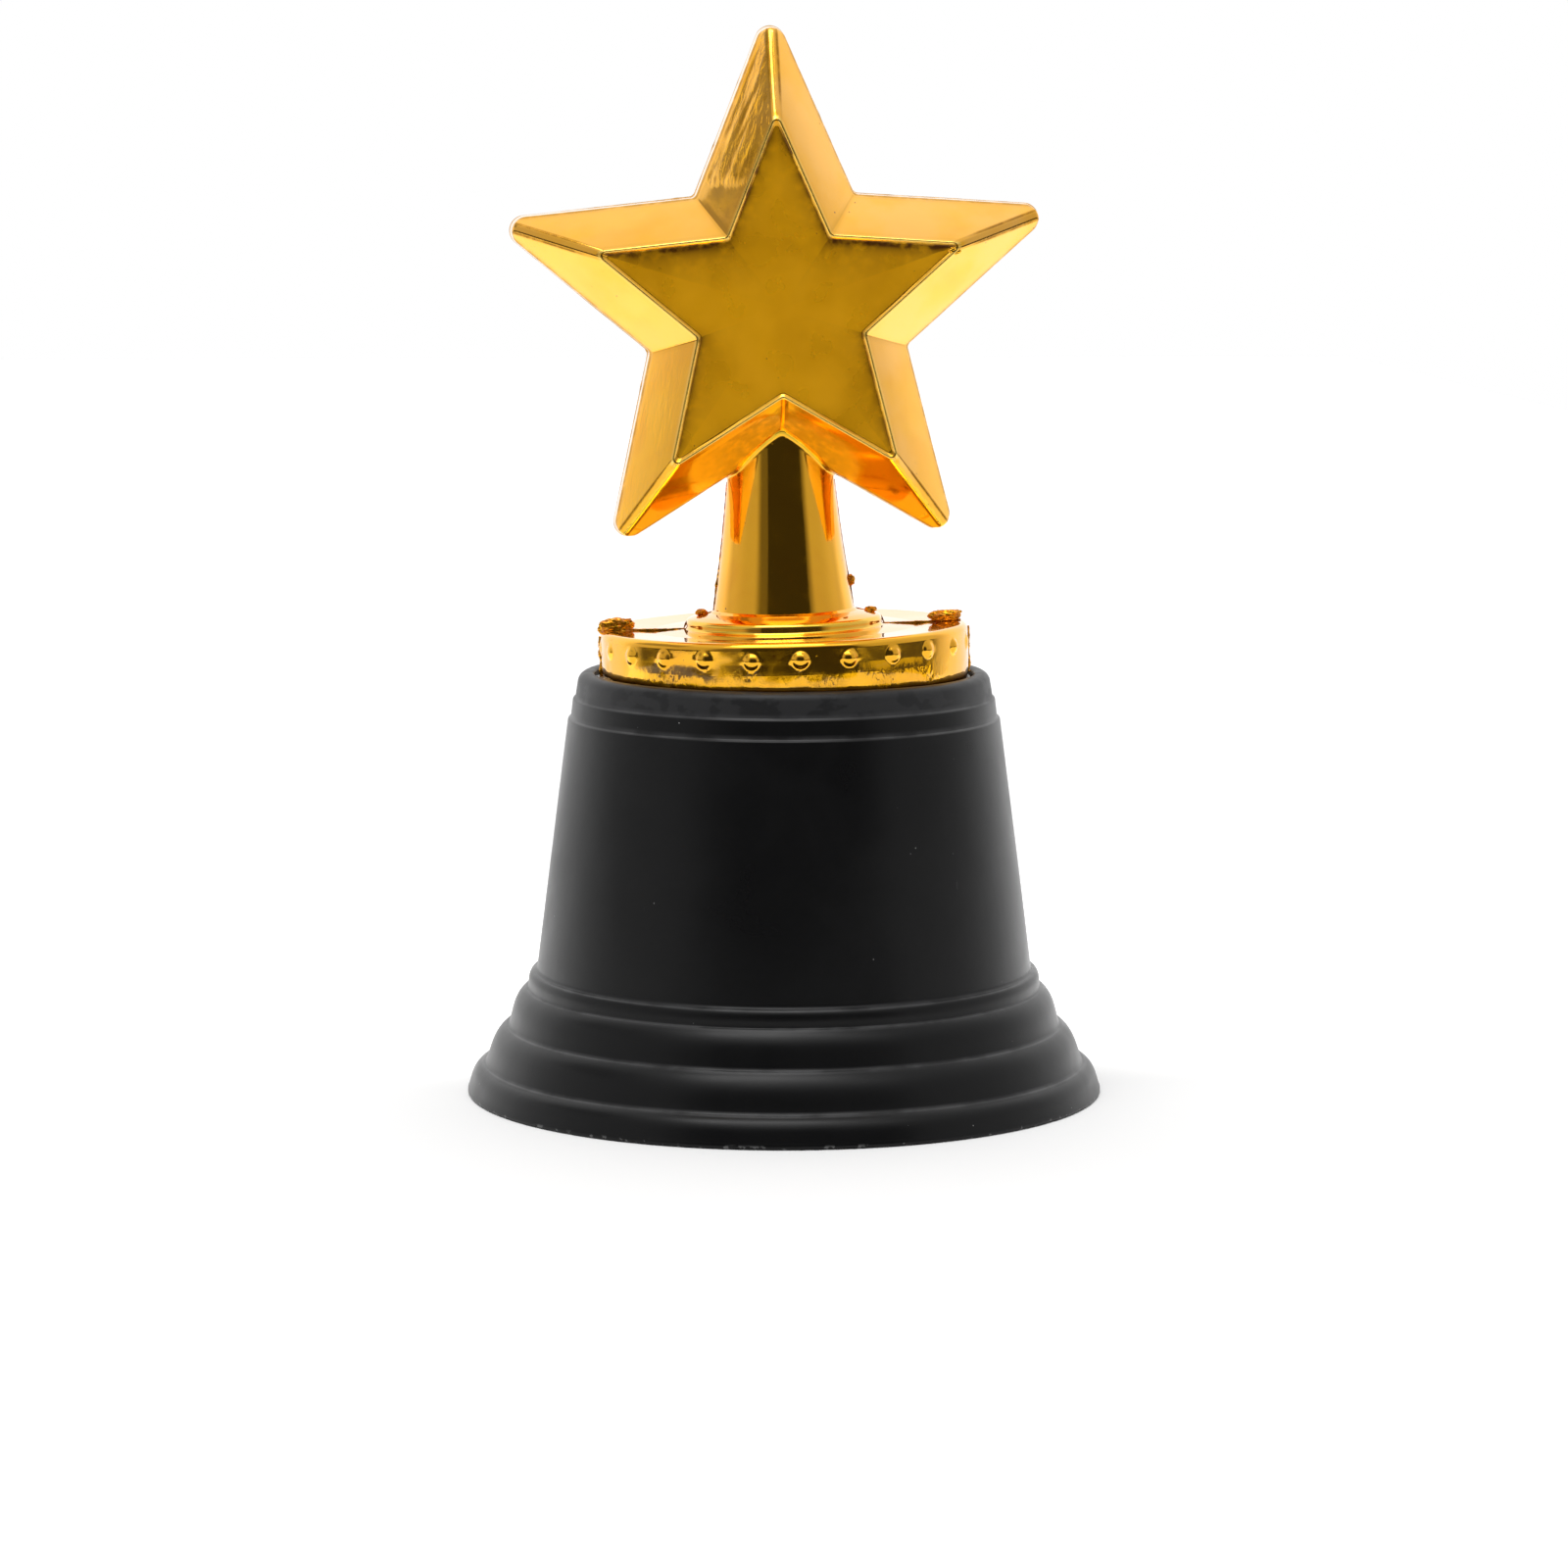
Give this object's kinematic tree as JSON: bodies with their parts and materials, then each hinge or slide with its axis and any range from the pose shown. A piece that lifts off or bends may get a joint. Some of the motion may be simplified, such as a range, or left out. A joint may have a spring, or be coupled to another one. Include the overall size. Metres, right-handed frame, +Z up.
{
  "type": "star trophy",
  "caption": "Award trophy: a hollow gold star on a tapered post and beaded drum, glued into a stepped hollow black bell base.",
  "frame": {"origin": "centre of the base's foot, on the surface that the trophy stands on", "axes": "+Z up; the star's two faces look along -Y and +Y; +X is to the right when the star is seen from the front, along +Y"},
  "size_m": [0.09, 0.09, 0.1499],
  "materials": {
    "black_plastic": "satin moulded black plastic",
    "gold_plastic": "mirror-bright gold vacuum metallising under clear lacquer",
    "glue": "glossy set hot-melt glue, dark amber"
  },
  "bodies": {
    "root": {"base_shell": "black_plastic", "star_figure": "gold_plastic", "glue_ring": "glue", "glue_dabs": "glue"}
  },
  "joints": []
}
